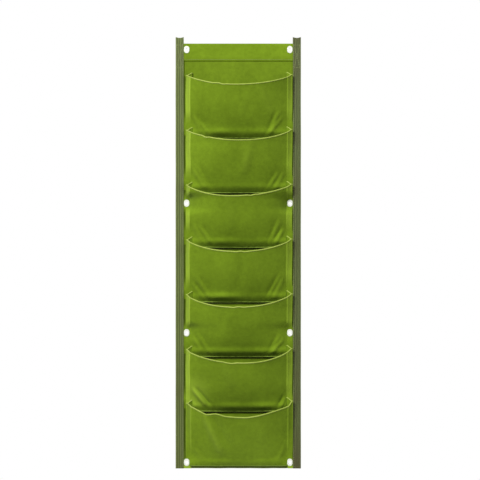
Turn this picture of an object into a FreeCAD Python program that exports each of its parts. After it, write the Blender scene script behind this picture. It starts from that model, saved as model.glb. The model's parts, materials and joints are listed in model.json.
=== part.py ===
import FreeCAD, Part
import math
import os

# Wall planter bag: a felt back panel with a column of open felt pockets, webbing straps down
# both sides and rows of eyelets, hung flat against a wall.
# Frame: X to the right, Y into the wall, Z up. The origin is midway between the two top
# eyelets, on the back face of the panel. All sizes are in millimetres.

# Back panel and its folded top hem
bag_width = 290.0
panel_thickness = 3.0
top_margin = 72.0  # panel above the highest lip corners
top_hem_height = 40.0

# Webbing straps, each turned over the top into a hanging loop
strap_width = 18.5
strap_thickness = 1.6
strap_rise = 16.0  # loop above the panel
strap_tail = 60.0  # webbing sewn down behind the panel

# Eyelets, in rows of two
eyelet_bore_radius = 4.0
eyelet_wall = 0.5
punch_flats = 12  # flats of a hole punched in the felt
eyelet_flange_half_width = 6.4  # oval flange, taller than wide
eyelet_flange_half_height = 8.5
eyelet_flange_thickness = 1.0
eyelet_flange_slope = 0.6  # sloped off at the rim
eyelet_margin = 0.6  # felt left beside each flange
eyelet_edge = 14.0  # outermost rows, from the panel's edges
eyelet_step = 300.0  # between the lower rows
eyelet_low_rows = 3
washer_thickness = 0.8
eyelet_fit = 0.1

# Pockets, numbered from the top
pocket_count = 7
pocket_pitch = 126.4
pocket_felt = 2.2
hem_rise = 6.5  # lowest hem line above the panel's bottom edge
lip_rise = 147.0  # lip corner above its own hem line
lip_seam_drop = 6.0  # fall of the lip from the strap to the side seam
lip_dip = 28.0  # fall of the lip from the strap to its middle
gusset_reach_hem = 6.5  # side seam to fold, across the bag, at the hem
gusset_reach_lip = 4.5  # the same at the lip
fold_depth = 22.0  # how far the folds stand forward at the lip
belly_depth = 68.8  # how far the middle stands forward at the lip
gore_count = 5  # flat gores that round each side of the front
lip_steps = 10  # straight runs that make up the dip of the lip
gusset_foot = 2.6
gusset_edge = 3.0
hem_bead_radius = 1.7  # rolled lower edge that the pocket front turns on
hem_strip_height = 4.0
hem_strip_thickness = 3.2

# Lip binding, folded over the pocket's upper edge
binding_height = 5.0
binding_skin = 0.7

# Clearances
hinge_gap = 0.3
fold_gap = 0.3
stack_gap = 0.3

# Worked out from the sizes above
half_width = bag_width / 2
strap_inner = half_width - strap_width
eyelet_x = strap_inner - eyelet_margin - eyelet_flange_half_width
seam_half = eyelet_x - eyelet_flange_half_width - eyelet_margin
fold_half_hem = seam_half - gusset_reach_hem
fold_half_lip = seam_half - gusset_reach_lip
panel_height = hem_rise + (pocket_count - 1) * pocket_pitch + lip_rise + top_margin
panel_top = eyelet_edge
panel_bottom = panel_top - panel_height
panel_front = -panel_thickness
layer_front = panel_front - pocket_felt
hinge_y = panel_front - hinge_gap - hem_bead_radius
hem_face = -hinge_y + pocket_felt / 2
eyelet_hole_radius = eyelet_bore_radius + eyelet_wall + eyelet_fit
cut_depth = panel_thickness + 2 * belly_depth
cut_drop = lip_rise + 2 * pocket_pitch

Vector = FreeCAD.Vector
along_x = Vector(1, 0, 0)
along_y = Vector(0, 1, 0)


def block(x_low, x_high, y_low, y_high, z_low, z_high):
    size = (x_high - x_low, y_high - y_low, z_high - z_low)
    return Part.makeBox(*size, Vector(x_low, y_low, z_low))


def folded_solid(low, high):
    """Solid between two outlines of as many points, each side creased from its outer end below to its
    inner end above, so that both faces of a wall fold the same way."""
    outlines = [low, high]
    for index in range(len(low)):
        inner, outer = sorted((index - 1, index), key=lambda end: low[end].x)
        crease = [low[outer], high[inner]]
        outlines.append([low[inner]] + crease)
        outlines.append([high[outer]] + crease)
    shell = Part.Shell([Part.Face(Part.makePolygon(points + points[:1])) for points in outlines])
    shell.sewShape()
    return Part.Solid(shell)


def mirrored(shape):
    return shape.mirror(Vector(0, 0, 0), along_x)


def raised(shape, height):
    copy = shape.copy()
    copy.translate(Vector(0, 0, height))
    return copy


def hem_height(number):
    return panel_bottom + hem_rise + (pocket_count - number) * pocket_pitch


def eyelet_places():
    heights = [panel_bottom + eyelet_edge + row * eyelet_step for row in range(eyelet_low_rows)]
    heights.append(panel_top - eyelet_edge)
    return [Vector(side * eyelet_x, 0, height) for height in heights for side in (-1, 1)]


def eyelet_holes():
    """Holes punched in the felt, with flats round the barrels of the eyelets."""
    turn = 2 * math.pi / punch_flats
    radius = eyelet_hole_radius / math.cos(turn / 2)
    start = Vector(0, cut_depth / 2, 0)
    corners = []
    for step in range(punch_flats + 1):
        angle = turn * (step % punch_flats)
        corners.append(start + Vector(radius * math.cos(angle), 0, radius * math.sin(angle)))
    punch = Part.Face(Part.makePolygon(corners)).extrude(Vector(0, -cut_depth, 0))
    holes = []
    for place in eyelet_places():
        hole = punch.copy()
        hole.translate(place)
        holes.append(hole)
    return holes


def back_panel():
    sheet = block(-half_width, half_width, panel_front, 0, panel_bottom, panel_top)
    return sheet.cut(eyelet_holes())


def top_hem():
    low = panel_top - top_hem_height
    fold = block(-half_width, half_width, layer_front, panel_front, low, panel_top)
    return fold.cut(eyelet_holes())


def side_strap():
    """Webbing on the right edge: up the front, over in a loop and down behind the panel."""
    inner = -layer_front / 2
    outer = inner + strap_thickness
    turn_y = layer_front / 2
    turn_z = panel_top + strap_rise - outer
    tail_z = panel_top - strap_tail
    front_low = Vector(strap_inner, turn_y - outer, panel_bottom)
    front_high = Vector(strap_inner, turn_y - outer, turn_z)
    back_high = Vector(strap_inner, turn_y + outer, turn_z)
    back_low = Vector(strap_inner, turn_y + outer, tail_z)
    inside_back_low = Vector(strap_inner, turn_y + inner, tail_z)
    inside_back_high = Vector(strap_inner, turn_y + inner, turn_z)
    inside_front_high = Vector(strap_inner, turn_y - inner, turn_z)
    inside_front_low = Vector(strap_inner, turn_y - inner, panel_bottom)
    crown = Vector(strap_inner, turn_y, turn_z + outer)
    inside_crown = Vector(strap_inner, turn_y, turn_z + inner)
    edges = [
        Part.LineSegment(front_low, front_high),
        Part.Arc(front_high, crown, back_high),
        Part.LineSegment(back_high, back_low),
        Part.LineSegment(back_low, inside_back_low),
        Part.LineSegment(inside_back_low, inside_back_high),
        Part.Arc(inside_back_high, inside_crown, inside_front_high),
        Part.LineSegment(inside_front_high, inside_front_low),
        Part.LineSegment(inside_front_low, front_low),
    ]
    outline = Part.Wire([edge.toShape() for edge in edges])
    return Part.Face(outline).extrude(Vector(strap_width, 0, 0))


def oval(y):
    """Outline of an eyelet's flange at a depth: two half circles joined by straight sides."""
    half = eyelet_flange_half_width
    height = eyelet_flange_half_height
    rise = height - half
    right = [Vector(half, y, -rise), Vector(half, y, rise)]
    left = [Vector(-half, y, rise), Vector(-half, y, -rise)]
    edges = [
        Part.LineSegment(*right),
        Part.Arc(right[1], Vector(0, y, height), left[0]),
        Part.LineSegment(*left),
        Part.Arc(left[1], Vector(0, y, -height), right[0]),
    ]
    return Part.Wire([edge.toShape() for edge in edges])


def eyelet(place):
    """Barrel through the felt with an oval flange on the front, sloped off at its rim."""
    front = layer_front - eyelet_flange_thickness
    shoulder = front + eyelet_flange_slope
    length = washer_thickness - front
    flange = Part.Face(oval(layer_front)).extrude(Vector(0, -eyelet_flange_thickness, 0))
    rim = [edge for edge in flange.Edges if edge.BoundBox.YMax < shoulder]
    flange = flange.makeChamfer(eyelet_flange_slope, rim)
    back = Vector(0, washer_thickness, 0)
    barrel_length = washer_thickness - layer_front
    barrel_radius = eyelet_bore_radius + eyelet_wall
    barrel = Part.makeCylinder(barrel_radius, barrel_length, back, -along_y)
    bore = Part.makeCylinder(eyelet_bore_radius, length, back, -along_y)
    ring = flange.fuse(barrel).cut(bore).removeSplitter()
    ring.translate(place)
    return ring


def washer(place):
    plate = Part.Face(oval(0)).extrude(Vector(0, washer_thickness, 0))
    hole = Part.makeCylinder(eyelet_hole_radius, washer_thickness, Vector(0, 0, 0), along_y)
    plate = plate.cut(hole)
    plate.translate(place)
    return plate


def below_lip(offset):
    """Everything under the lip line, which falls from the straps to the middle of the mouth."""
    corner = lip_rise + offset
    seam = corner - lip_seam_drop
    middle = Vector(0, 0, corner - lip_dip)
    left = [Vector(-bag_width, 0, corner), Vector(-strap_inner, 0, corner), Vector(-seam_half, 0, seam)]
    right = [Vector(seam_half, 0, seam), Vector(strap_inner, 0, corner), Vector(bag_width, 0, corner)]
    base = [Vector(bag_width, 0, corner - cut_drop), Vector(-bag_width, 0, corner - cut_drop)]
    dip = Part.Arc(left[-1], middle, right[0]).discretize(lip_steps + 1)
    outline = Part.makePolygon(left[:-1] + dip + right[1:] + base + left[:1])
    region = Part.Face(outline).extrude(Vector(0, -2 * cut_depth, 0))
    region.translate(Vector(0, cut_depth, 0))
    return region


def pocket_sheet(grow):
    """Front of a pocket as felt bends: a flat triangle standing on the hem and, at either side, a fan
    of narrow gores from the hem corner to the lip's arc. Both faces are moved out by grow."""
    left = Vector(-fold_half_hem, -hem_face - grow, 0)
    right = Vector(fold_half_hem, left.y, 0)
    folds = [Vector(side * fold_half_lip, left.y - fold_depth, lip_rise) for side in (-1, 1)]
    middle = Vector(0, left.y - belly_depth, lip_rise)
    lip = Part.Arc(folds[0], middle, folds[1]).discretize(2 * gore_count + 1)
    outlines = [[left, middle, right]]
    for index in range(gore_count):
        outlines.append([left, lip[index], lip[index + 1]])
        outlines.append([right, lip[-1 - index], lip[-2 - index]])
    faces = [Part.Face(Part.makePolygon(points + points[:1])) for points in outlines]
    parts = [face.extrude(Vector(0, pocket_felt + 2 * grow, 0)) for face in faces]
    return parts[0].fuse(parts[1:]).removeSplitter()


def pocket_front():
    """Front between the folds, with the rolled hem that it turns on."""
    sheet = pocket_sheet(0).common(below_lip(0))
    start = Vector(-fold_half_hem, hinge_y, 0)
    bead = Part.makeCylinder(hem_bead_radius, 2 * fold_half_hem, start, along_x)
    return sheet.fuse(bead).removeSplitter()


def pocket_lip():
    """Binding tape folded over the upper edge of the pocket front."""
    band = pocket_sheet(binding_skin).common(below_lip(binding_skin))
    tape = band.cut(below_lip(binding_skin - binding_height))
    return tape.cut(pocket_sheet(0).common(below_lip(0)))


def gusset_section(share):
    half = fold_half_hem + (fold_half_lip - fold_half_hem) * share + fold_gap
    fold_y = -hem_face - fold_depth * share
    height = lip_rise * share
    outline = [
        (seam_half - gusset_foot, panel_front),
        (seam_half + gusset_foot, panel_front),
        (seam_half + gusset_foot, layer_front),
        (seam_half, layer_front),
        (half, fold_y),
        (half, fold_y + gusset_edge),
    ]
    return [Vector(x, y, height) for x, y in outline]


def pocket_gusset(number):
    """Pleated right side of a pocket, with the flat margin that is sewn under the strap."""
    is_lowest = number == pocket_count
    foot = -hem_rise if is_lowest else 0.0
    margin = block(seam_half, half_width, layer_front, panel_front, foot, lip_rise)
    wall = folded_solid(gusset_section(0.0), gusset_section(1.0))
    piece = margin.fuse(wall).common(below_lip(0))
    if not is_lowest:
        piece = piece.cut(below_lip(stack_gap - pocket_pitch))
    return piece.removeSplitter()


def pocket_gussets(number):
    right = raised(pocket_gusset(number), hem_height(number)).cut(eyelet_holes())
    return Part.makeCompound([mirrored(right), right])


def pocket_hem():
    """Strip of felt that holds the rolled hem of a pocket to the panel."""
    high = -hem_bead_radius - hinge_gap
    front = panel_front - hem_strip_thickness
    return block(-fold_half_hem, fold_half_hem, front, panel_front, high - hem_strip_height, high)


def build():
    strap = side_strap()
    front = pocket_front()
    lip = pocket_lip()
    hem = pocket_hem()
    nodes = {
        "back_panel": back_panel(),
        "top_hem": top_hem(),
        "side_strap_left": mirrored(strap),
        "side_strap_right": strap,
        "eyelets": Part.makeCompound([eyelet(place) for place in eyelet_places()]),
        "eyelet_washers": Part.makeCompound([washer(place) for place in eyelet_places()]),
    }
    for number in range(1, pocket_count + 1):
        height = hem_height(number)
        nodes[f"pocket_front_{number}"] = raised(front, height)
        nodes[f"pocket_lip_{number}"] = raised(lip, height)
        nodes[f"pocket_gussets_{number}"] = pocket_gussets(number)
        nodes[f"pocket_hem_{number}"] = raised(hem, height)
    return nodes


os.makedirs("parts", exist_ok=True)
for name, shape in build().items():
    shape.exportStep(f"parts/{name}.step")
    print(name, "solids", len(shape.Solids), "valid", shape.isValid(), "volume", round(shape.Volume, 1))
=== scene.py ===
import json
import math
import random

import bpy
import numpy as np
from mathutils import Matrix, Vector, noise


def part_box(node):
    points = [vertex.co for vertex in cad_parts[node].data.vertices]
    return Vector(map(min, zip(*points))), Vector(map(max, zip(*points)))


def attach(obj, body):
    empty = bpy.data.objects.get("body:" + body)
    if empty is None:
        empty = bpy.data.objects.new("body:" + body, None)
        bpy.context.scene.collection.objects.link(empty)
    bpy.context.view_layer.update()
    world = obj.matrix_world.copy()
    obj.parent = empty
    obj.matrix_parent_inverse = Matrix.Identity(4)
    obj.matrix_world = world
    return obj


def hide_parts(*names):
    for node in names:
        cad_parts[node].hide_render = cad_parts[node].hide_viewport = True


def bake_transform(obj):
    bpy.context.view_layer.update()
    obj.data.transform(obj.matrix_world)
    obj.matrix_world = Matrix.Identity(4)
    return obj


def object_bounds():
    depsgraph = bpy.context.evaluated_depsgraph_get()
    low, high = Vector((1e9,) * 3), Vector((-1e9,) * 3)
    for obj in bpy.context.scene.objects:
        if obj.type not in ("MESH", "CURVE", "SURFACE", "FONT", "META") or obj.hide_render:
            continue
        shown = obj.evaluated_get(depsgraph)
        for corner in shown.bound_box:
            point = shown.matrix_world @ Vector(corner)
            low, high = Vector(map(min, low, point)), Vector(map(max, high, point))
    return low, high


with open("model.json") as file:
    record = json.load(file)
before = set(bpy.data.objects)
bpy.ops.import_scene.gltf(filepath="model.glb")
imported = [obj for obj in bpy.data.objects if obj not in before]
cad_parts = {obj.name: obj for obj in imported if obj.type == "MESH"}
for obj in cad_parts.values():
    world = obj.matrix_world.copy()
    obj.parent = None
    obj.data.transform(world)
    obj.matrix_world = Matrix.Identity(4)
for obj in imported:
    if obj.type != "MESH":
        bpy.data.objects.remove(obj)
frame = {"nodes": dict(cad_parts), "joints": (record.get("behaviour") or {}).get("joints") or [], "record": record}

scene = bpy.context.scene
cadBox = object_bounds()
mm = 0.001  # sizes below are in millimetres, Blender's are in metres
print("frame loaded:", len(frame["nodes"]), "nodes")


# sizes that the frame gives, in mm; depth is measured out of the wall, along -Y
def nodeBox(node):
    low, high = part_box(node)
    return low / mm, high / mm


panelLow, panelHigh = nodeBox("back_panel")
hemLow, hemHigh = nodeBox("top_hem")
strapLow, strapHigh = nodeBox("side_strap_right")
marginHigh = nodeBox("pocket_gussets_1")[1]
stripLow = nodeBox("pocket_hem_1")[0]
lipLow = nodeBox("pocket_lip_1")[0]
hemHeights = [joint["pos_m"][2] / mm for joint in frame["joints"]]
pocketCount = len(hemHeights)
eyeletRows = [mount for mount in frame["record"]["mounts"] if mount["kind"] == "bolt_pattern"]
eyeletPlaces = [
    (side * mount["dims"]["spacing_x_mm"] / 2, mount["pos_m"][2] / mm)
    for mount in eyeletRows
    for side in (-1, 1)
]
panelFront = -panelLow.y
layerFront = -hemLow.y  # outer face of the felt layer that lies on the panel
feltThick = layerFront - panelFront
strapInner = strapLow.x
strapWidth = strapHigh.x - strapLow.x
strapThick = strapHigh.y - panelHigh.y
lipRise = marginHigh.z - hemHeights[0]
lipDepth = -lipLow.y
hemHinge = -frame["joints"][0]["pos_m"][1] / mm
strapCorners = [corner.co / mm for corner in frame["nodes"]["side_strap_right"].data.vertices]
wallSide = 0.5  # mm behind the panel, where only the webbing's tail lies
strapTail = min(corner.z for corner in strapCorners if corner.y > wallSide)


# share that goes smoothly from 0 at low to 1 at high
def smooth(low, high, value):
    share = np.clip((value - low) / (high - low), 0, 1)
    return share * share * (3 - 2 * share)


# the same, with low and high measured from a line
def fromLine(line, edges, value):
    return smooth(line + edges[0], line + edges[1], value)


# smooth random value from -1 to 1
def drift(*place):
    return noise.noise(Vector(place))


def linear(hexColour):
    parts = [int(hexColour[i:i + 2], 16) / 255 for i in (1, 3, 5)]
    return [p / 12.92 if p <= 0.04045 else ((p + 0.055) / 1.055) ** 2.4 for p in parts] + [1]


# materials
def addNode(tree, kind, inputs=None, **settings):
    made = tree.nodes.new("ShaderNode" + kind)
    for name, value in settings.items():
        setattr(made, name, value)
    for name, value in (inputs or {}).items():
        if isinstance(value, bpy.types.NodeSocket):
            tree.links.new(value, made.inputs[name])
        else:
            made.inputs[name].default_value = value
    return made


# empty material, its nodes and the place that patterns go by
def newMaterial(name):
    made = bpy.data.materials.new(name)
    made.use_nodes = True
    tree = made.node_tree
    tree.nodes.clear()
    return made, tree, addNode(tree, "TexCoord").outputs["Object"]


def finishMaterial(tree, shader):
    addNode(tree, "OutputMaterial", {"Surface": shader.outputs[0]})


waveUnit = 2 * math.pi / 20  # a wave texture of scale 1 repeats once in this length

# mm, detail and roughness of each noise; tufts and fibres are drawn about three times coarser, to show
feltLook = {
    "cloud": (70, 2.0, 0.5),  # dye that took unevenly
    "mottle": (9, 3.0, 0.6),  # matted fibre tufts
    "fibre": (1.6, 4.0, 0.7),  # single fibres
    "depth": 0.5,  # mm, how far tufts stand out
    "roughness": 0.93,
    "sheen": 0.04,
}


# needle-punched polyester felt: matt, a little mottled, with light painted on by a point attribute that runs
# from -1, painted shade in grooves and under hem beads, to 1, painted highlights along creases and lit sides
def needledFelt(name, dark, light, wearAndHighlight="#9eba3a", paintedShade="#303c0c"):
    made, tree, place = newMaterial(name)
    cloud, mottle, fibre = (
        addNode(tree, "TexNoise", {
            "Vector": place, "Scale": 1 / (size * mm), "Detail": detail, "Roughness": roughness})
        for size, detail, roughness in (feltLook[key] for key in ("cloud", "mottle", "fibre")))
    blotch = addNode(tree, "Math", {0: cloud.outputs["Fac"], 1: mottle.outputs["Fac"]}, operation="ADD")
    tone = addNode(tree, "Math", {0: blotch.outputs[0], 1: fibre.outputs["Fac"]}, operation="ADD")
    share = addNode(tree, "MapRange", {"Value": tone.outputs[0], "From Min": 1.1, "From Max": 1.9})
    colour = addNode(tree, "Mix", {
        "Factor": share.outputs["Result"], "A": linear(dark), "B": linear(light)}, data_type="RGBA")
    # painted highlight: mixed toward the pale colour; painted shade: mixed toward the dark one
    paintedLight = addNode(tree, "Attribute", attribute_name="paintedLight")
    wornAndLit = addNode(tree, "Mix", {
        "Factor": paintedLight.outputs["Fac"], "A": colour.outputs["Result"], "B": linear(wearAndHighlight)},
        data_type="RGBA")
    shadeShare = addNode(tree, "Math", {0: paintedLight.outputs["Fac"], 1: -1.0}, operation="MULTIPLY")
    shadedColour = addNode(tree, "Mix", {
        "Factor": shadeShare.outputs[0], "A": wornAndLit.outputs["Result"], "B": linear(paintedShade)}, data_type="RGBA")
    pile = addNode(tree, "Math", {0: mottle.outputs["Fac"], 1: fibre.outputs["Fac"]}, operation="ADD")
    bump = addNode(tree, "Bump", {
        "Height": pile.outputs[0], "Strength": 0.35, "Distance": feltLook["depth"] * mm})
    shader = addNode(tree, "BsdfPrincipled", {
        "Base Color": shadedColour.outputs["Result"],
        "Roughness": feltLook["roughness"],
        "Specular IOR Level": 0.12,
        "Sheen Weight": feltLook["sheen"],
        "Sheen Roughness": 0.5,
        "Normal": bump.outputs["Normal"],
    })
    finishMaterial(tree, shader)
    return made


webLook = {
    "pick": 2.4,  # mm, from one cross thread to the next, drawn coarser to show
    "stripe": 5.6,  # mm, colour stripes along the strap
    "stain": 120,  # mm, weathered stretches
    "splash": (-860, -950),  # mm, heights between which splashed soil darkens the lower ends
    "depth": 0.3,  # mm, how far ribs stand out
    "roughness": 0.62,
}


# woven polypropylene webbing: hard flat ribs along its length, cross threads between them, slightly waxy
def wovenWebbing(name, dark, light, stain, wear, splashed):
    made, tree, place = newMaterial(name)
    weave = addNode(tree, "UVMap", uv_map="strapUv").outputs[0]
    stripe = addNode(tree, "TexWave", {
        "Vector": weave, "Scale": waveUnit / (webLook["stripe"] * mm), "Distortion": 1.4,
        "Detail": 2.0, "Detail Scale": 1.5}, bands_direction="X")
    pick = addNode(tree, "TexWave", {
        "Vector": weave, "Scale": waveUnit / (webLook["pick"] * mm), "Distortion": 0.6,
        "Detail": 1.0}, bands_direction="Y")
    patch = addNode(tree, "TexNoise", {
        "Vector": place, "Scale": 1 / (webLook["stain"] * mm), "Detail": 4.0, "Roughness": 0.6})
    rib = addNode(tree, "Math", {0: pick.outputs["Fac"], 1: 0.3, 2: stripe.outputs["Fac"]},
                  operation="MULTIPLY_ADD")
    share = addNode(tree, "MapRange", {"Value": rib.outputs[0], "From Min": 0.1, "From Max": 1.25})
    colour = addNode(tree, "Mix", {
        "Factor": share.outputs["Result"], "A": linear(dark), "B": linear(light)}, data_type="RGBA")
    wornAndLit = addNode(tree, "MapRange", {
        "Value": patch.outputs["Fac"], "From Min": 0.65 - wear / 2, "From Max": 0.8 - wear / 4,
        "To Max": 0.8})
    height = addNode(tree, "SeparateXYZ", {"Vector": place}).outputs["Z"]
    splash = addNode(tree, "MapRange", {
        "Value": height, "From Min": webLook["splash"][0] * mm, "From Max": webLook["splash"][1] * mm,
        "To Max": splashed})
    grime = addNode(tree, "Math", {
        0: wornAndLit.outputs["Result"], 1: splash.outputs["Result"]}, operation="MAXIMUM")
    stained = addNode(tree, "Mix", {
        "Factor": grime.outputs[0], "A": colour.outputs["Result"], "B": linear(stain)}, data_type="RGBA")
    bump = addNode(tree, "Bump", {
        "Height": rib.outputs[0], "Strength": 0.5, "Distance": webLook["depth"] * mm})
    shader = addNode(tree, "BsdfPrincipled", {
        "Base Color": stained.outputs["Result"],
        "Roughness": webLook["roughness"],
        "Specular IOR Level": 0.3,
        "Normal": bump.outputs["Normal"],
    })
    finishMaterial(tree, shader)
    return made


enamelLook = {"chip": 1.5, "ripple": 0.05, "roughness": 0.32}  # mm


# stamped brass eyelet, stove enamelled: smooth white with a soft gloss, a shade warmer where it is rubbed
def stoveEnamel(name, paint, wearAndHighlight):
    made, tree, place = newMaterial(name)
    chip = addNode(tree, "TexNoise", {
        "Vector": place, "Scale": 1 / (enamelLook["chip"] * mm), "Detail": 3.0})
    share = addNode(tree, "MapRange", {"Value": chip.outputs["Fac"], "From Min": 0.5, "From Max": 0.8})
    colour = addNode(tree, "Mix", {
        "Factor": share.outputs["Result"], "A": linear(paint), "B": linear(wearAndHighlight)}, data_type="RGBA")
    bump = addNode(tree, "Bump", {
        "Height": chip.outputs["Fac"], "Strength": 0.2, "Distance": enamelLook["ripple"] * mm})
    shader = addNode(tree, "BsdfPrincipled", {
        "Base Color": colour.outputs["Result"],
        "Roughness": enamelLook["roughness"],
        "Coat Weight": 0.2,
        "Normal": bump.outputs["Normal"],
    })
    finishMaterial(tree, shader)
    return made


threadLook = {"twist": 0.9, "roughness": 0.55}  # mm


# spun polyester sewing thread: a low sheen, with its twist as fine slanting bands
def spunThread(name, dark, light):
    made, tree, place = newMaterial(name)
    twist = addNode(tree, "TexWave", {
        "Vector": place, "Scale": waveUnit / (threadLook["twist"] * mm)}, bands_direction="DIAGONAL")
    colour = addNode(tree, "Mix", {
        "Factor": twist.outputs["Fac"], "A": linear(dark), "B": linear(light)}, data_type="RGBA")
    shader = addNode(tree, "BsdfPrincipled", {
        "Base Color": colour.outputs["Result"],
        "Roughness": threadLook["roughness"],
        "Sheen Weight": 0.2,
    })
    finishMaterial(tree, shader)
    return made


mossFelt = needledFelt("mossFelt", "#5e7610", "#718c1a")
panelFelt = needledFelt("panelFelt", "#586e10", "#6b8418")
# the pocket felt made lighter for the lip binding, a painted highlight on its rolled edge
lipHighlightFelt = needledFelt("lipHighlightFelt", "#8a9d3b", "#a2b154")
# lighter felt on the hem beads, a painted highlight; darker felt on the strips under them, a painted shadow
hemHighlightFelt = needledFelt("hemHighlightFelt", "#687e28", "#7e943a")
stripShadeFelt = needledFelt("stripShadeFelt", "#344208", "#42520c")
khakiWebbing = wovenWebbing("khakiWebbing", "#3a4419", "#647038", "#464922", 0.3, 0.35)
fadedWebbing = wovenWebbing("fadedWebbing", "#313915", "#556031", "#3e3a1e", 0.42, 0.7)
whiteEnamel = stoveEnamel("whiteEnamel", "#dcded2", "#c8c7b4")
oliveThread = spunThread("oliveThread", "#6d7740", "#8c9658")
print("materials made")


# mesh helpers; points are in millimetres
def makePiece(name, points, faces, material, uv=None, paintedLight=None, sharp=60):
    mesh = bpy.data.meshes.new(name)
    mesh.from_pydata((np.asarray(points) * mm).tolist(), [], faces)
    mesh.polygons.foreach_set("use_smooth", [True] * len(mesh.polygons))
    mesh.set_sharp_from_angle(angle=math.radians(sharp))
    if uv is not None:
        layer = mesh.uv_layers.new(name="strapUv")
        corners = np.zeros(len(mesh.loops), np.int32)
        mesh.loops.foreach_get("vertex_index", corners)
        layer.data.foreach_set("uv", (np.asarray(uv) * mm)[corners].ravel())
    if paintedLight is not None:
        mesh.attributes.new("paintedLight", "FLOAT", "POINT").data.foreach_set("value", np.asarray(paintedLight, np.float32))
    mesh.materials.append(material)
    mesh.update()
    piece = bpy.data.objects.new(name, mesh)
    scene.collection.objects.link(piece)
    return piece


# a thick sheet with closed edges round a middle surface; holes marks the cells left out
def thickSheet(middle, thickness, holes):
    rows, columns = middle.shape[:2]
    normal = np.cross(np.gradient(middle, axis=1), np.gradient(middle, axis=0))
    normal /= np.maximum(np.linalg.norm(normal, axis=2, keepdims=True), 1e-9)
    offset = normal * thickness[..., None] / 2
    points = np.concatenate([(middle + offset).reshape(-1, 3), (middle - offset).reshape(-1, 3)])
    count = rows * columns
    kept = np.pad(~holes, 1)  # with one empty cell all round
    faces = []
    for row in range(rows - 1):
        for column in range(columns - 1):
            if not kept[row + 1, column + 1]:
                continue
            a = row * columns + column
            b, c, d = a + 1, a + columns + 1, a + columns
            faces.append((a, b, c, d))
            faces.append((a + count, d + count, c + count, b + count))
            if not kept[row, column + 1]:
                faces.append((a, a + count, b + count, b))
            if not kept[row + 2, column + 1]:
                faces.append((d, c, c + count, d + count))
            if not kept[row + 1, column]:
                faces.append((a, d, d + count, a + count))
            if not kept[row + 1, column + 2]:
                faces.append((b, b + count, c + count, c))
    used, faces = np.unique(faces, return_inverse=True)
    return points[used], faces.reshape(-1, 4).tolist(), normal, used % count


# cells of a flat-lying sheet inside the eyelets, with the rims drawn on to a circle
def eyeletHoles(middle, columns=None):
    radius = panelLook["hole"]
    centre = (middle[:-1, :-1] + middle[1:, 1:]) / 2
    holes = np.zeros(centre.shape[:2], bool)
    for x, z in eyeletPlaces:
        gone = np.hypot(centre[..., 0] - x, centre[..., 2] - z) < radius
        if columns is not None:
            gone[:, ~columns[:-1]] = False
        holes |= gone
        full = np.pad(gone, 1)
        touched = np.stack([full[:-1, :-1], full[1:, :-1], full[:-1, 1:], full[1:, 1:]])
        rim = touched.any(axis=0) & ~touched.all(axis=0)
        spots = middle[rim]
        away = spots[:, [0, 2]] - (x, z)
        away *= radius / np.maximum(np.linalg.norm(away, axis=1, keepdims=True), 1e-6)
        spots[:, [0, 2]] = away + (x, z)
        middle[rim] = spots
    return holes


def spread(low, high, step):
    return np.linspace(low, high, max(2, int(round((high - low) / step)) + 1))


# thread bars on a surface, with tapered ends
stitchLook = {
    "pitch": 5.0,
    "length": 3.4,
    "width": 0.9,
    "height": 0.45,
    "full": 0.3,  # share of the length each way before the taper
    "sides": 6,
}


def stitches(spots, scale=1.0):
    length, width, height = (stitchLook[key] * scale for key in ("length", "width", "height"))
    sides = stitchLook["sides"]
    points, faces = [], []
    for spot, along, out in spots:
        along = np.asarray(along) / np.linalg.norm(along)
        out = np.asarray(out) / np.linalg.norm(out)
        side = np.cross(along, out)
        first = len(points)
        points.append(spot - along * length / 2)
        for share in (-stitchLook["full"], stitchLook["full"]):
            for turn in range(sides):
                angle = 2 * math.pi * turn / sides
                lift = out * height * math.sin(angle) + side * width / 2 * math.cos(angle)
                points.append(spot + along * length * share + lift)
        points.append(spot + along * length / 2)
        near, far, tip = first + 1, first + 1 + sides, first + 1 + 2 * sides
        for turn in range(sides):
            after = (turn + 1) % sides
            faces.append((first, near + after, near + turn))
            faces.append((near + turn, near + after, far + after, far + turn))
            faces.append((far + turn, far + after, tip))
    return points, faces


# stitch places along a line of points
def alongLine(line, out, pitch=stitchLook["pitch"]):
    line = np.asarray(line, float)
    lengths = np.concatenate([[0], np.cumsum(np.linalg.norm(np.diff(line, axis=0), axis=1))])
    marks = np.arange(pitch / 2, lengths[-1], pitch)
    nudge = 0.5  # mm, to find which way the line runs
    spots, ahead, behind = (
        np.stack([np.interp(marks + shift, lengths, line[:, i]) for i in range(3)], axis=1)
        for shift in (0, nudge, -nudge))
    return [(spot, a - b, out) for spot, a, b in zip(spots, ahead, behind)]


# faces of a tube of rings of points, with both ends closed
def tubeFaces(rings, count, turned=False):
    faces = []
    for ring in range(rings - 1):
        for turn in range(count):
            a, b = ring * count + turn, ring * count + (turn + 1) % count
            faces.append((a, a + count, b + count, b) if turned else (a, b, b + count, a + count))
    first, last = range(count), range((rings - 1) * count, rings * count)
    if turned:
        return faces + [tuple(first), tuple(reversed(last))]
    return faces + [tuple(reversed(first)), tuple(last)]


# back panel and top hem
panelLook = {
    "step": 9,
    "fine": 1.7,  # grid spacing round the eyelets
    "clear": 8.5,  # reach of that fine grid
    "ripple": 0.35,  # height of the panel's slow waves
    "waves": (90, 130),  # their lengths across and up
    "calm": 30,  # they fade out this near the side edges
    "edge": 0.9,  # width of the pressed rim
    "edgeThick": 0.6,  # share of the thickness left there
    "hole": 5.2,  # radius punched for an eyelet
}


# slow waves of the panel, still at its side edges
def ripple(x, z):
    across, up = panelLook["waves"]
    calm = float(smooth(0, panelLook["calm"], panelHigh.x - abs(x)))
    return panelLook["ripple"] * calm * drift(x / across, z / up, 3.1)


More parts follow.
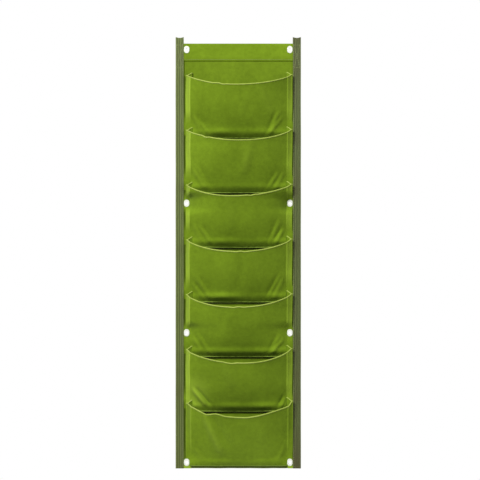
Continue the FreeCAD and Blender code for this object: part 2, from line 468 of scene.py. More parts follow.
# grid lines along x (0) or z (1), finer at the eyelets and with one beside each edge
def gridLines(low, high, axis):
    step, fine, reach, edge = (panelLook[key] for key in ("step", "fine", "clear", "edge"))
    lines = list(spread(low, high, step))
    for centre in sorted({place[axis] for place in eyeletPlaces}):
        lines = [line for line in lines if abs(line - centre) > reach or line in (low, high)]
        stretch = np.arange(centre - reach, centre + reach + 0.01, fine)
        lines += [line for line in stretch if low < line < high]
    lines = sorted(set(round(line, 3) for line in lines))
    return np.sort(np.append(lines, [low + edge, high - edge]))


def flatSheet(name, x, low, high, front, thick, material):
    columns, rows = gridLines(-x, x, 0), gridLines(low, high, 1)
    across, up = np.meshgrid(columns, rows)
    depth = front - thick / 2 + np.array([[ripple(a, b) for a in columns] for b in rows])
    middle = np.stack([across, -depth, up], axis=2)
    holes = eyeletHoles(middle)
    thickness = np.full(across.shape, float(thick))
    thickness[[0, -1]] *= panelLook["edgeThick"]
    thickness[:, [0, -1]] *= panelLook["edgeThick"]
    points, faces = thickSheet(middle, thickness, holes)[:2]
    return makePiece(name, points, faces, material)


backPanel = flatSheet("backPanel", panelHigh.x, panelLow.z, panelHigh.z, panelFront, panelFront, panelFelt)
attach(backPanel, "bag")
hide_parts("back_panel")
topHem = flatSheet("topHem", panelHigh.x, hemLow.z, hemHigh.z, layerFront, feltThick, mossFelt)
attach(topHem, "bag")
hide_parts("top_hem")
print("back panel and top hem made")


# pockets, one felt sheet each: flat margin under the strap, inward seam, pleat folded outward, bellied
# front; pairs are left and right or from and to, heights are above the pocket's own hem
pocketLook = {
    "rows": 60,
    "rowCrowding": 0.08,  # rows stand closer at the hem and the lip
    "bellyColumns": 92,
    "crowding": 0.4 * math.pi,  # columns stand closer towards the creases
    "edgeThick": 0.7,  # share of the thickness left at both ends
    "bend": (1.0, 0.8),  # it bends with the mouth from mm off the panel to a share of the lip's depth
    # margin
    "marginReach": 16,  # how far it runs under the strap
    "marginCoarse": (0, 7, 12),  # its columns there, from its outer edge
    "marginFine": 1.25,  # spacing of those beside the strap
    "marginFoot": 6.0,  # its lower end; the lowest pocket's ends with the panel
    "marginDrop": 2.5,  # its top below the pleat's, to stay hidden
    "tuck": (18, 30),  # heights over which its foot comes out from behind the pocket below
    "cover": (-34, -24),  # the same for its top in front of the pocket above, from the lip
    "coverRise": 1.1,
    "coverEdge": (121.5, 117.5),  # half-widths over which it rises
    "groove": 1.5,  # how far it is pulled thin between pleat and strap
    "grooveFold": (-0.5, 0.8),  # soft edges of that groove, from the fold
    "grooveStrap": (0.6, -0.4),  # and from the strap
    # pleat
    "valley": (108.0, 114.0),  # half-width at the hidden seam
    "valleyTurn": 1.15,  # radius of its bend
    "fold": (121.0, 124.4),  # half-width at the outer fold
    "foldTurn": (1.1, 0.9),  # radius of its bend at the hem, and its gain to the lip
    "sway": (0.8, 40),  # how far the fold wanders, and over what length
    "lean": (1.2, 0.0),  # how far the fold is drawn in at the lip
    "leanFrom": 95,
    "strips": ((7, 10), (10, 12)),  # ranges of the flat width beside the fold
    "turn": 1,  # what the bend takes up of that width
    "opens": (27, 66),  # heights over which the pleat opens
    "closed": 0.02,  # share of its gaps left where it lies closed
    "pressed": 20.0,  # reach of an eyelet's clamp, where the pleat lies flat
    "gap": 0.3,  # between its layers at the hem
    "gape": 6.0,  # how much further it opens at the lip
    "cornerRise": 6.5,  # seam's top above the fold's
    "drawn": (0.34, 0.17),  # share by which the inner crease goes forward with the front
    "drawnOver": (15, 110),
    "creaseStep": 0.6,
    "crease": 1.2,  # how far that pressed edge stands out
    "creaseWidth": 1.1,
    # front
    "hemHalf": 106.0,  # half-width of the sewn hem
    "dip": 28.0,  # lip's middle below its corners
    "bellyPower": 0.75,  # below 1 the belly is fuller low down
    "bellyFlat": 2.3,  # above 2 it is flatter in the middle
    "bellyStart": 0.6,  # its lower edge in front of the hinge line
    "lipInset": 1.0,
    "dimple": 7,  # the higher, the closer a clamp's dimple is to the crease
    "still": (0.12, 14),  # folds fade out this near the crease, as a share, and the hem
    "slack": ((1.5, 75, 60, 9.7), (0.4, 24, 28, 1)),  # height, lengths across and up, and seed
    "gather": (0.45, 13, 7),  # puckers along the hem: height, spacing and reach
    "roll": (4.6, 13, 7.5),  # swelling above the hem: how far out, height and width
    "flare": (1.3, 6),  # how far the lip turns out, and over what height
    # painted light: highlights on creases, fold edges and the lit sides, and shade in the groove by the strap
    "shadeShare": (0.66, 0.95),  # share of painted shade in the groove beside the strap
    "shadeEdge": (-8, -5),  # its soft edge, from the strap
    "paintedLight": (0.55, 0.3),  # how far the pleat's strip is painted paler, a painted highlight, more on the lit left
    # painted highlights on the pressed crease and on the fold's edge
    "highlightCrease": 0.26,
    "highlightFold": 0.25,
    "highlightRidge": (0.03, 6),  # painted highlight for each mm that a fold stands out, up to so many
    "paleFoot": 0.5,  # painted paler at the lower end of the margin
    "footEdge": (4, -2),
}
pleatColumns = {"valley": 5, "gusset": 4, "fold": 7, "strip": 6}
marginOuter = strapInner + pocketLook["marginReach"]


# the lowest pocket follows the photo; its lip falls further on the left, with a soft kink there
lowestLook = {
    "fold": (120.4, 125.2),
    "strips": (10.5, 10.2),  # fixed widths
    "opens": (16, 58),
    "hemHalf": 112.0,
    "bellyPower": 0.85,
    "roll": (2.0, 10, 5.5),
    "shadeFrom": (8, 22),  # heights over which its painted shade starts
    "paintedLight": (0.1, 0.0),
    "lip": [
        (-118, 1), (-108, 5.6), (-92, 12.6), (-80, 18), (-73, 21), (-62, 20), (-51, 18.2), (-42, 20.2),
        (-30, 24), (0, 26.2), (20, 26.6), (42, 23.6), (62, 19.2), (90, 12.2), (108, 8.2), (117, 5.0),
        (125, -4.5)],  # x, fall below the corners
    "folds": [
        (-78, 126, -40, 36, 5.4, 8), (-56, 120, -22, 50, -3.0, 9), (-106, 46, -78, 12, 1.6, 6),
        (106, 46, 90, 10, 1.3, 5), (40, 112, 66, 40, 0.9, 14)],  # x and height at both ends, rise, width
}
# the one above has sharp tension folds at its lower corners and a painted highlight on its left, where the light
# falls
nextLook = {
    "paintedLight": (0.66, 0.3),
    "highlightFrom": (6, 18),  # heights over which that starts
    "litFlank": (0.36, (-50, -104), (98, 48)),  # painted highlight on the front beside the left pleat, fading in across and up
    "folds": [
        (-106, 54, -76, 16, 6.0, 4.2), (-96, 54, -66, 18, -4.4, 4.2), (-110, 30, -98, 8, 2.6, 3.2),
        (113, 36, 100, 12, 3.4, 3.2), (104, 36, 91, 12, -2.6, 4), (-30, 120, -12, 60, 1.8, 12)],
}


def lookOf(number):
    return pocketLook | {pocketCount: lowestLook, pocketCount - 1: nextLook}.get(number, {})


# sagging lip of the other pockets, as (x, fall below the corners), with one soft kink
def lipPoints(draw):
    lean = draw.uniform(-4, 4)
    kink, kinkHeight, kinkWidth = draw.uniform(-80, 80), 1.8, 14
    leftEnd, rightEnd, step = -122, 124, 8
    points = []
    for x in spread(leftEnd, rightEnd, step):
        share = x / rightEnd
        fall = pocketLook["dip"] * (1 - abs(share) ** 2.2) ** 0.85 + lean * share * (1 - share * share)
        bend = kinkHeight * math.exp(-((x - kink) / kinkWidth) ** 2) * draw.choice((-0.6, 1))
        points.append((x, fall + 1 + bend))
    return points


# two tension folds in each lower corner, with hollows beside them, and three slanting ones
def pocketFolds(draw):
    folds = []
    for side in (-1, 1):
        for start in (105, 94):
            x = side * (start + draw.uniform(-3, 3))
            reach, rise = draw.uniform(18, 30), draw.uniform(40, 62)
            foot, height, width = draw.uniform(6, 16), draw.uniform(1.4, 2.8), draw.uniform(4, 6)
            folds.append((x, rise, x - side * reach, foot, height, width))
            hollow, hollowFoot, hollowWidth = -draw.uniform(1.0, 1.8), 10, 4.5
            folds.append((x - side * 8, rise, x - side * (reach + 9), hollowFoot, hollow, hollowWidth))
    for step in range(3):
        x, rise = draw.uniform(-70, 70), 120
        end, foot = x + draw.uniform(-30, 30), draw.uniform(30, 60)
        height, width = draw.uniform(-2, 2.4), draw.uniform(7, 12)
        folds.append((x, rise, end, foot, height, width))
    return folds


# one fold, lower at its ends
def ridge(x, h, fold):
    startX, startH, endX, endH, height, width = fold
    runX, runH = endX - startX, endH - startH
    share = ((x - startX) * runX + (h - startH) * runH) / (runX * runX + runH * runH)
    near = np.clip(share, 0, 1)
    away = np.hypot(x - startX - near * runX, h - startH - near * runH)
    fade = np.sqrt(np.clip(4 * near * (1 - near), 0, 1)) * 0.7 + 0.3
    return height * fade * np.exp(-((away / width) ** 2))


# the sheet's columns from strap to strap: their stretch, place in it and side
def pocketColumns():
    inner = pocketLook["valley"][0]
    coarse = marginOuter - np.array(pocketLook["marginCoarse"])
    fine = np.arange(strapInner + 1.2, inner, -pocketLook["marginFine"])
    columns = {"margin": (marginOuter - np.append(coarse, fine)) / (marginOuter - inner)}
    for kind, count in pleatColumns.items():
        columns[kind] = np.linspace(0, 1, count, endpoint=kind == "strip")
    kinds = [kind for kind, places in columns.items() for place in places]
    local = [place for places in columns.values() for place in places]
    even = np.linspace(-1, 1, pocketLook["bellyColumns"] + 2)[1:-1]
    middle = list(np.sin(pocketLook["crowding"] * even) / math.sin(pocketLook["crowding"]))
    kinds = np.array(kinds + ["belly"] * len(middle) + kinds[::-1])
    local = np.array(local + middle + local[::-1])
    side = np.where(np.arange(len(kinds)) < len(kinds) / 2, -1.0, 1.0)
    return kinds, local, side


# how far each column's upper end lies below the pocket's full height
def lipFalls(lip, kinds, local, side, frontX):
    belly = kinds == "belly"
    front = belly | (kinds == "strip")
    falls = np.zeros(len(kinds))
    falls[front] = np.interp(frontX, lip[:, 0], lip[:, 1])[front]
    corner = np.where(side < 0, lip[0, 1], lip[-1, 1])
    rise = pocketLook["cornerRise"]
    for kind, start, end in (("valley", 1, 1), ("gusset", 1, 0), ("fold", 0, 0)):
        part = kinds == kind
        falls[part] = corner[part] - rise * (start + (end - start) * local[part])
    part = kinds == "margin"
    falls[part] = corner[part] + pocketLook["marginDrop"] - rise * smooth(0.6, 1, local[part])
    falls[belly] = np.convolve(np.pad(falls[belly], 1, mode="edge"), np.ones(3) / 3, mode="valid")
    return falls


# folds, slack and gathers: what they add to the front's depth, and the folds alone
def frontRelief(number, x, h, s, top, folds):
    look = lookOf(number)
    inward = 1 - np.abs(s)
    still = smooth(0, look["still"][0], inward) * smooth(0, look["still"][1], h)
    relief = sum(ridge(x, h, fold) for fold in folds)
    slack = np.array([
        [sum(size * drift(a / across, b / up, number * seed) for size, across, up, seed in look["slack"])
         for a, b in zip(rowX, rowH)]
        for rowX, rowH in zip(x, h)
    ])
    pucker, pitch, reach = look["gather"]
    gather = pucker * np.sin(x * 2 * math.pi / pitch + number) * np.exp(-h / reach)
    uneven = np.clip(np.array([drift(value * 1.6, number * 4.1, 2.2) for value in s]) + 0.6, 0.3, 1.4)
    rollOut, rollAt, rollWidth = look["roll"]
    roll = rollOut * uneven * np.exp(-(((h - rollAt) / rollWidth) ** 2))
    flare = look["flare"][0] * np.exp(-(top - h) / look["flare"][1])
    added = (relief + slack) * still + gather + roll + flare * smooth(0, 0.2, inward)
    return added, relief * still


# painted light on the sheet, from -1, painted shade, to 1, painted highlight; its margin's foot is only painted
# paler
def pocketPaintedLight(number, kinds, side, x, h, opened, pressedEdge, standing):
    look = lookOf(number)
    mid = np.s_[:, kinds == "belly"]
    margin = kinds == "margin"
    # painted shade in the groove between the pleat's fold and the strap
    shadeRise = smooth(*look["shadeFrom"], h) if "shadeFrom" in look else opened
    shadeShare = np.where(side < 0, *look["shadeShare"])
    paintedLight = -shadeShare * shadeRise * fromLine(strapInner, look["shadeEdge"], np.abs(x)) * margin
    # painted highlights: pleat strips, more on the lit left, pressed creases, fold edges, the left flank and
    # standing folds
    pleatHighlight = np.where(side < 0, *look["paintedLight"])
    wornAndLit = smooth(*look["highlightFrom"], h) if "highlightFrom" in look else opened
    edgeHighlight = look["highlightCrease"] * pressedEdge + look["highlightFold"] * opened * (kinds == "fold")
    paintedLight += edgeHighlight + pleatHighlight * wornAndLit * (kinds == "strip")
    if "litFlank" in look:
        flankLight, across, up = look["litFlank"]
        paintedLight[mid] += flankLight * (smooth(*across, x[mid]) * smooth(*up, h[mid])) * wornAndLit[mid]
    paintedLight[mid] += look["highlightRidge"][0] * np.clip(standing, 0, look["highlightRidge"][1])
    paintedLight += look["paleFoot"] * smooth(*look["footEdge"], h) * margin
    return paintedLight


def pocketSheet(number):
    look = lookOf(number)
    hemZ = hemHeights[number - 1]
    isLowest = number == pocketCount
    draw = random.Random(40 + number)
    lip = np.array(look.get("lip") or lipPoints(draw))
    drawnFolds = pocketFolds(draw)
    folds = look.get("folds", drawnFolds)
    strips = look["strips"] if isLowest else [draw.uniform(*ends) for ends in look["strips"]]
    kinds, local, side = pocketColumns()
    belly = kinds == "belly"
    front = belly | (kinds == "strip")

    def sided(pair):
        return np.where(side < 0, *pair)

    strip = sided(strips)
    valley = sided(look["valley"])
    fold = sided(look["fold"])

    # top and bottom of each column, and the heights of its points
    turn = look["turn"]
    frontX = np.where(belly, local * (fold - strip - turn), side * (fold - local * (strip + turn)))
    top = lipRise - lipFalls(lip, kinds, local, side, frontX)
    bottom = np.zeros(len(kinds))
    bottom[kinds == "margin"] = panelLow.z - hemZ if isLowest else look["marginFoot"]
    rows = np.linspace(0, 1, look["rows"])
    rows = rows - look["rowCrowding"] * np.sin(2 * math.pi * rows)
    h = bottom + rows[:, None] * (top - bottom)
    share = np.clip(h / lipRise, 0, 1.05)  # corners stand a little above the lip's full height

    # plan of the sheet at each height: half-width x and depth out of the wall
    clamp = look["pressed"]
    free = np.ones_like(h)  # none where an eyelet clamps the pleat flat
    for x, z in eyeletPlaces:
        if x > 0 and clamp < z - hemZ < lipRise - clamp:
            free *= 1 - np.exp(-(((h - (z - hemZ)) / clamp) ** 4))
    opened = free * smooth(*look["opens"], h)
    sway = np.array([drift(value / look["sway"][1], number * 3.3, 0.7) for value in rows * lipRise])
    lean = sided(look["lean"]) * smooth(look["leanFrom"], lipRise, h)
    foldX = fold + look["sway"][0] * sway[:, None] * opened - lean
    crease = foldX - turn - strip
    packed = look["closed"] + (1 - look["closed"]) * opened
    tuck = (1 - smooth(*look["tuck"], h)) * (not isLowest)
    cover = fromLine(lipRise, look["cover"], h) * (number > 1)
    lift = look["coverRise"] * cover
    marginDepth = layerFront - feltThick / 2 - feltThick / 2 * tuck
    valleyTurn = look["valleyTurn"] * packed
    gussetDepth = marginDepth + lift + 2 * valleyTurn
    foldTurn = (look["foldTurn"][0] + look["foldTurn"][1] * share) * packed
    foldDepth = gussetDepth + (look["gap"] + look["gape"] * share ** 2) * packed
    stripDepth = foldDepth + 2 * foldTurn
    lipShare = (lipRise - look["dip"]) / lipRise
    power = look["bellyPower"]
    bellyReach = (lipDepth - feltThick - hemHinge - look["lipInset"]) / lipShare ** power
    middleDepth = hemHinge + look["bellyStart"] + bellyReach * share ** power
    drawn = sided(look["drawn"]) * smooth(*look["drawnOver"], h)
    creaseReach = drawn * (middleDepth - stripDepth)
    pulled = creaseReach * (1 - free)  # dimple beside a clamp
    creaseDepth = stripDepth + look["creaseStep"] * packed + creaseReach - pulled

    # margin and pleat, from the strap inward
    x, depth = np.zeros_like(h), np.zeros_like(h)
    thickness = np.full(h.shape, float(feltThick))
    for kind in ("margin", *pleatColumns):
        part = kinds == kind
        cut = np.s_[:, part]
        s = local[part]
        angle = (s - 0.5) * math.pi  # for the two bends
        if kind == "margin":
            x[cut] = marginOuter - s * (marginOuter - valley[part])
            raised = lift[cut] * smooth(*look["coverEdge"], x[cut])
            beside = fromLine(fold[part], look["grooveFold"], x[cut])
            inGroove = opened[cut] * beside * fromLine(strapInner, look["grooveStrap"], x[cut])
            depth[cut] = marginDepth[cut] + raised - look["groove"] / 2 * inGroove
            thickness[cut] -= look["groove"] * inGroove
        elif kind == "valley":
            x[cut] = valley[part] - valleyTurn[cut] * np.cos(angle)
            depth[cut] = gussetDepth[cut] - valleyTurn[cut] * (1 - np.sin(angle))
        elif kind == "gusset":
            x[cut] = valley[part] + s * (foldX[cut] - foldTurn[cut] - valley[part])
            depth[cut] = gussetDepth[cut] + s * (foldDepth - gussetDepth)[cut]
        elif kind == "fold":
            x[cut] = foldX[cut] - foldTurn[cut] * (1 - np.cos(angle))
            depth[cut] = foldDepth[cut] + foldTurn[cut] * (1 + np.sin(angle))
        else:
            x[cut] = (foldX - foldTurn)[cut] + s * (crease - foldX + foldTurn)[cut]
            depth[cut] = stripDepth[cut] + s * (creaseDepth - stripDepth)[cut]
    x *= side

    # bellied front between the creases
    s = local[belly]
    mid = np.s_[:, belly]
    x[mid] = s * crease[mid]
    bulge = 1 - np.abs(s) ** look["bellyFlat"]
    slackCrease = (creaseDepth + pulled)[mid]
    dimple = pulled[mid] * np.abs(s) ** look["dimple"]
    depth[mid] = slackCrease + (middleDepth[mid] - slackCrease) * bulge - dimple
    added, standing = frontRelief(number, x[mid], h[mid], s, top[belly], folds)
    depth[mid] += added
    pressedEdge = np.exp(-(((np.abs(x) - crease) / look["creaseWidth"]) ** 2)) * opened * front
    depth += look["crease"] * pressedEdge

    paintedLight = pocketPaintedLight(number, kinds, side, x, h, opened, pressedEdge, standing)
    grid = np.stack([x, -depth, h + hemZ], axis=2)
    holes = eyeletHoles(grid, ~belly)
    thickness[[0, -1]] *= look["edgeThick"]
    return grid, thickness, holes, kinds, paintedLight


bindingLook = {
    "height": 2.7,
    "skin": 0.5,  # tape on each side of the lip
    "sides": 12,
    "lift": 0.5,  # how far it stands above the sheet's edge
    "seamRise": 0.9,  # its stitches above its lower edge
    "seamSkin": 0.8,  # how deep they lie, as a share of the tape
    "seamOut": (0, -1, -0.4),  # the way they face
    "seamPitch": 4.6,
    "seamScale": 0.75,  # finer thread than in the straps
}


# way up along the sheet at its upper edge
def lipUp(grid):
    up = grid[-1] - grid[-3]
    return up / np.linalg.norm(up, axis=1, keepdims=True)


# rolled tape over the lip, along the sheet's upper edge from seam to seam
def lipBinding(grid, normal, kinds):
    topRow = grid[-1]
    inside = np.where(kinds != "margin")[0]
    up = lipUp(grid)
    half = bindingLook["height"] / 2
    thick = feltThick / 2 + bindingLook["skin"]
    sides = bindingLook["sides"]
    points = []
    for column in inside:
        centre = topRow[column] + up[column] * (bindingLook["lift"] - half)
        for turn in range(sides):
            angle = 2 * math.pi * turn / sides
            across = normal[-1, column] * thick * math.cos(angle)
            points.append(centre + across + up[column] * half * math.sin(angle))
    return points, tubeFaces(len(inside), sides, turned=True)


# stitches that hold the binding, on the front's outer face
def lipSeam(grid, normal, kinds):
    front = np.where((kinds == "belly") | (kinds == "strip"))[0]
    out = normal[-1] * np.where(normal[-1, :, 1:2] < 0, 1, -1)
    face = feltThick / 2 + bindingLook["skin"] * bindingLook["seamSkin"]
    below = bindingLook["height"] - bindingLook["lift"] - bindingLook["seamRise"]
    line = grid[-1] - lipUp(grid) * below + out * face
    return alongLine(line[front], bindingLook["seamOut"], bindingLook["seamPitch"])


def addPocket(number):
    grid, thickness, holes, kinds, paintedLight = pocketSheet(number)
    points, faces, normal, cells = thickSheet(grid, thickness, holes)
    sheet = makePiece(f"pocketSheet{number}", points, faces, mossFelt, paintedLight=paintedLight.ravel()[cells])
    points, faces = lipBinding(grid, normal, kinds)
    binding = makePiece(f"lipBinding{number}", points, faces, lipHighlightFelt)
    seam = stitches(lipSeam(grid, normal, kinds), bindingLook["seamScale"])
    thread = makePiece(f"lipStitches{number}", *seam, oliveThread)
    for piece in (sheet, binding, thread):
        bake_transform(piece)
    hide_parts(f"pocket_front_{number}", f"pocket_gussets_{number}")
    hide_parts(f"pocket_lip_{number}")


for number in range(1, pocketCount + 1):
    addPocket(number)
print("pockets made:", pocketCount)


# hems: a rolled bead along each pocket's lower edge in a lighter felt, a painted highlight, over a thin sewn strip
# in its shadow, in a darker felt that paints that shadow
hemLook = {
    "strip": 0.7,  # thickness
    "stripTop": -1.0,  # where it goes in under the bead
    "seat": 0.2,  # how far both reach into the panel's face
    "bead": 1.3,  # radius
    "beadOut": 2.2,  # its middle, in front of the pocket's hinge line
    "beadBack": 0.8,  # height at which it runs back to the panel
    "arc": (-0.75, 0.65, 9),  # ends of its round, in half turns, and points along it
    "step": 4,
    "wave": (0.35, 30),  # how far the hem strays up and down, and over what length
    "swell": (0.12, 11),  # the same for its thickness, as a share
    "lightAndShadeLowest": (0.12, -0.4),  # strip painted a little paler and bead painted darker, on the lowest pocket
}


def hemWelt(number):
    look = hemLook
    hemZ = hemHeights[number - 1]
    isLowest = number == pocketCount
    half = lookOf(number)["hemHalf"]
    low = panelLow.z - hemZ if isLowest else stripLow.z - hemHeights[0]
    inside = panelFront - look["seat"]
    front = panelFront + look["strip"]
    outline = [(inside, low), (front, low), (front, look["stripTop"])]
    stripCount = len(outline)
    for angle in np.linspace(*look["arc"]) * math.pi:
        depth = hemHinge + look["beadOut"] + look["bead"] * math.cos(angle)
        outline.append((depth, look["bead"] * math.sin(angle)))
    outline.append((inside, look["beadBack"]))
    count = len(outline)
    places = spread(-half, half, look["step"])
    points = []
    for x in places:
        shift = look["wave"][0] * drift(x / look["wave"][1], number * 5.3, 0.5)
        swell = 1 + look["swell"][0] * drift(x / look["swell"][1], number * 2.1, 4.0)
        for depth, z in outline:
            points.append((x, -(panelFront + (depth - panelFront) * swell), hemZ + z + shift))
    stripLight, beadShade = look["lightAndShadeLowest"] if isLowest else (0.0, 0.0)
    paintedLight = ([stripLight] * stripCount + [beadShade] * (count - stripCount)) * len(places)
    piece = makePiece(f"hemWelt{number}", points, tubeFaces(len(places), count), hemHighlightFelt, paintedLight=paintedLight)
    piece.data.materials.append(stripShadeFelt)
    kinds = ([1] * stripCount + [0] * (count - stripCount)) * (len(places) - 1)
    piece.data.polygons.foreach_set("material_index", kinds + [0, 0])
    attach(piece, "bag")
    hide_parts(f"pocket_hem_{number}")


for number in range(1, pocketCount + 1):
    hemWelt(number)
print("hem welts made")


# webbing straps, with their hanging loops
strapLook = {
    "step": 7,
    "loopSteps": 14,
    "across": 37,  # points across the width
    "ribs": 6,
    "relief": 0.22,  # depth of the grooves between ribs
    "edge": (12, 0.75),  # how sharp the round of its edges is, and how much that takes off
    "wander": (0.5, 80),  # how far it strays sideways, and over what length
    "swell": (0.35, 50),  # the same off the felt
    "held": 25,  # both fade out this near its sewn ends
    "dip": 2.2,  # sag of the loop's top
}


# strap's middle line as (depth, z, way out, way up): up the front, over and down the back
def strapPath():
    turnDepth = layerFront / 2
    reach = layerFront / 2 + strapThick / 2
    turnZ = strapHigh.z - layerFront / 2 - strapThick
    path = [(turnDepth + reach, z, 1.0, 0.0) for z in spread(panelLow.z, turnZ, strapLook["step"])]
    for step in range(1, strapLook["loopSteps"]):
        angle = math.pi * step / strapLook["loopSteps"]
        out, up = math.cos(angle), math.sin(angle)
        path.append((turnDepth + reach * out, turnZ + reach * up, out, up))
    down = spread(strapTail, turnZ, strapLook["step"])[::-1]
    return path + [(turnDepth - reach, z, -1.0, 0.0) for z in down]


# x and heights of both faces over the middle line, at a share u of the strap's half-width
def strapFace(side, u, z, isFront):
    look = strapLook
    held = smooth(0, look["held"], z - panelLow.z) * smooth(0, look["held"], panelHigh.z - z) * isFront
    sway = look["wander"][0] * drift(z / look["wander"][1], side * 3.0, 0.2) * held
    swell = look["swell"][0] * (drift(z / look["swell"][1], side * 7.0, 1.7) + 0.6) * held
    body = strapThick / 2 * np.sqrt(1 - np.abs(u) ** look["edge"][0] * look["edge"][1])
    rib = look["relief"] * (np.cos(u * math.pi * look["ribs"]) - 1)
    x = side * (strapInner + strapWidth / 2 - sway / 2) + u * strapWidth / 2
    return x, swell + body + rib, swell - body


def addStrap(name, node, side, material):
    across = np.linspace(-1, 1, strapLook["across"])
    path = strapPath()
    points, uv = [], []
    run = 0.0
    for index, (depth, z, outDepth, outZ) in enumerate(path):
        if index:
            run += math.hypot(depth - path[index - 1][0], z - path[index - 1][1])
        x, above, below = strapFace(side, across, z, outDepth > 0.99)
        sag = strapLook["dip"] * outZ * (1 - across ** 2)
        for order, lift in ((1, above), (-1, below)):
            row = np.stack([x, -(depth + outDepth * lift), z + outZ * lift - sag], axis=1)
            points += list(row[::order])
            uv += [(u * strapWidth / 2, run) for u in across[::order]]
    piece = makePiece(name, points, tubeFaces(len(path), 2 * len(across)), material, uv)
    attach(piece, "bag")
    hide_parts(node)


addStrap("strapLeft", "side_strap_left", -1, khakiWebbing)
addStrap("strapRight", "side_strap_right", 1, fadedWebbing)
print("straps made")


# stitching through the panel: strap edges, boxed loop ends, hems and side seams, seen on both faces
seamLook = {
    "strapEdge": 2.2,  # from the webbing's edge to its stitches
    "strapEnd": 3,  # where those start and end, inside the panel's ends
    "boxEnd": 4,  # the same for the boxed stitching of the loop's tail
    "boxPoints": 12,
    "sideEnd": 8,  # and for the pockets' side seams
    "topHem": 3,  # above that hem's lower edge
    "hem": 3.6,  # below each pocket's hem line
    "step": 10,  # spacing of the points that a row follows
}
toFront, toBack = (0, -1, 0), (0, 1, 0)


def panelRow(xs, zs, depth, out):
    line = [(x, -(depth + ripple(x, z)), z) for x, z in np.broadcast(xs, zs)]
    return alongLine(line, out)


def strapRow(side, shares, zs):
    line = []
    for u, z in np.broadcast(shares, zs):
        x, above, below = strapFace(side, u, z, True)
        line.append((x, -(layerFront + strapThick / 2 + above), z))
    return alongLine(line, toFront)


def addStitching():
    look = seamLook
    spots = []
    edge = 1 - 2 * look["strapEdge"] / strapWidth
    low, high = strapTail + look["boxEnd"], panelHigh.z - look["boxEnd"]
    box = [(-edge, low), (edge, low), (-edge, high), (edge, high), (-edge, low), (edge, high)]
    heights = spread(panelLow.z + look["strapEnd"], panelHigh.z - look["strapEnd"], look["step"])
    seam = spread(panelLow.z + look["sideEnd"], hemHeights[0] + lipRise - look["sideEnd"], look["step"])
    for side, valley in zip((-1, 1), pocketLook["valley"]):
        centre = side * (strapInner + strapWidth / 2)
        for u in (-edge, edge):
            spots += strapRow(side, u, heights)
            spots += panelRow(centre + u * strapWidth / 2, heights, 0, toBack)
        for start, end in zip(box, box[1:]):
            shares, zs = (np.linspace(a, b, look["boxPoints"]) for a, b in zip(start, end))
            spots += strapRow(side, shares, zs)
            tail = [(centre + u * strapWidth / 2, strapThick, z) for u, z in zip(shares, zs)]
            spots += alongLine(tail, toBack)
        spots += panelRow(side * valley, seam, 0, toBack)
    across = spread(-strapInner + 1, strapInner - 1, look["step"])
    for depth, out in ((layerFront, toFront), (0, toBack)):
        spots += panelRow(across, hemLow.z + look["topHem"], depth, out)
    across = spread(-pocketLook["hemHalf"], pocketLook["hemHalf"], look["step"])
    for hemZ in hemHeights:
        for depth, out in ((panelFront + hemLook["strip"], toFront), (0, toBack)):
            spots += panelRow(across, hemZ - look["hem"], depth, out)
    piece = makePiece("stitching", *stitches(spots), oliveThread)
    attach(piece, "bag")
    print("stitches sewn:", len(spots))


addStitching()


# eyelets and washers keep their solids
for node in ("eyelets", "eyelet_washers"):
    frame["nodes"][node].data.materials.clear()
    frame["nodes"][node].data.materials.append(whiteEnamel)
print("eyelets enamelled")


# floor, light and camera, in metres
floorLook = {
    "drop": 0.75,  # below the bag's foot
    "radius": 1.5,
    "plain": 0.35,  # share of the radius before it fades to white
    "rings": 12,
    "sides": 64,
}


def makeFloor():
    points, faces = [(0, 0, 0)], []
    sides, rings, radius = (floorLook[key] for key in ("sides", "rings", "radius"))
    for ring in range(1, rings + 1):
        reach = radius * ring / rings
        for turn in range(sides):
            angle = 2 * math.pi * turn / sides
            points.append((reach * math.cos(angle), reach * math.sin(angle), 0))
    for turn in range(sides):
        faces.append((0, 1 + turn, 1 + (turn + 1) % sides))
    for ring in range(rings - 1):
        for turn in range(sides):
            a, b = 1 + ring * sides + turn, 1 + ring * sides + (turn + 1) % sides
            faces.append((a, a + sides, b + sides, b))
    material, tree, place = newMaterial("paleFloor")
    reach = addNode(tree, "VectorMath", {0: place}, operation="LENGTH")
    fade = addNode(tree, "MapRange", {
        "Value": reach.outputs["Value"], "From Min": radius * floorLook["plain"], "From Max": radius},
        interpolation_type="SMOOTHSTEP")
    matt = addNode(tree, "BsdfDiffuse", {"Color": linear("#f4f4f2")})
    ray = addNode(tree, "LightPath")
    white = addNode(tree, "Emission", {"Color": (1, 1, 1, 1), "Strength": 1.0})
    clear = addNode(tree, "BsdfTransparent")
    rim = addNode(tree, "MixShader", {
        0: ray.outputs["Is Camera Ray"], 1: clear.outputs[0], 2: white.outputs[0]})
    shader = addNode(tree, "MixShader", {0: fade.outputs["Result"], 1: matt.outputs[0], 2: rim.outputs[0]})
    finishMaterial(tree, shader)
    floor = makePiece("floor", np.array(points) / mm, faces, material)
    floor.location.z = cadBox[0].z - floorLook["drop"]


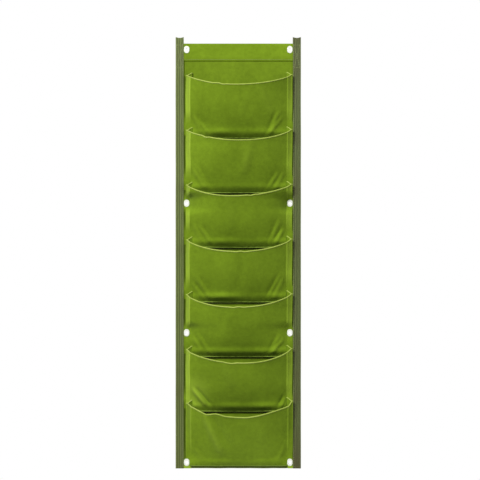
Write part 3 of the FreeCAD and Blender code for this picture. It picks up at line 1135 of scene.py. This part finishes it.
makeFloor()

lampLook = {
    "key": {"at": (-1.7, -3.0, 2.1), "size": 1.3, "power": 240},
    "fill": {"at": (1.9, -2.2, 0.1), "size": 2.2, "power": 21},
    "back": {"at": (0.2, 2.4, 0.6), "size": 2.0, "power": 40},
}
aim = (cadBox[0] + cadBox[1]) / 2
for name, lamp in lampLook.items():
    light = bpy.data.lights.new(name, "AREA")
    light.size = lamp["size"]
    light.energy = lamp["power"]
    holder = bpy.data.objects.new(name, light)
    scene.collection.objects.link(holder)
    holder.location = lamp["at"]
    holder.rotation_euler = (aim - Vector(lamp["at"])).to_track_quat("-Z", "Y").to_euler()

roomLook = {"light": 0.19, "backdrop": 1.0}  # what falls on the bag, and what the camera sees behind it
world = bpy.data.worlds.new("whiteRoom")
scene.world = world
world.use_nodes = True
roomTree = world.node_tree
roomTree.nodes.clear()
rays = addNode(roomTree, "LightPath")
seen = rays.outputs["Is Camera Ray"]
for kind in ("Is Glossy Ray", "Is Transmission Ray"):
    seen = addNode(roomTree, "Math", {0: seen, 1: rays.outputs[kind]}, operation="MAXIMUM").outputs[0]
room, white = (
    addNode(roomTree, "Background", {"Color": (1, 1, 1, 1), "Strength": roomLook[key]})
    for key in ("light", "backdrop"))
mixed = addNode(roomTree, "MixShader", {0: seen, 1: room.outputs[0], 2: white.outputs[0]})
addNode(roomTree, "OutputWorld", {"Surface": mixed.outputs[0]})

# metres; span is the frame's width at the bag
cameraLook = {"distance": 2.6, "x": 0.004, "z": -0.441, "span": 1.1117, "sensor": 36}
camera = bpy.data.cameras.new("photoCamera")
camera.sensor_width = cameraLook["sensor"]
camera.lens = cameraLook["sensor"] * cameraLook["distance"] / cameraLook["span"]
eye = bpy.data.objects.new("photoCamera", camera)
scene.collection.objects.link(eye)
eye.location = (cameraLook["x"], -cameraLook["distance"] - layerFront * mm, cameraLook["z"])
eye.rotation_euler = (math.pi / 2, 0, 0)
scene.camera = eye
scene.view_settings.view_transform = "Standard"
print("stage, lamps and camera set")
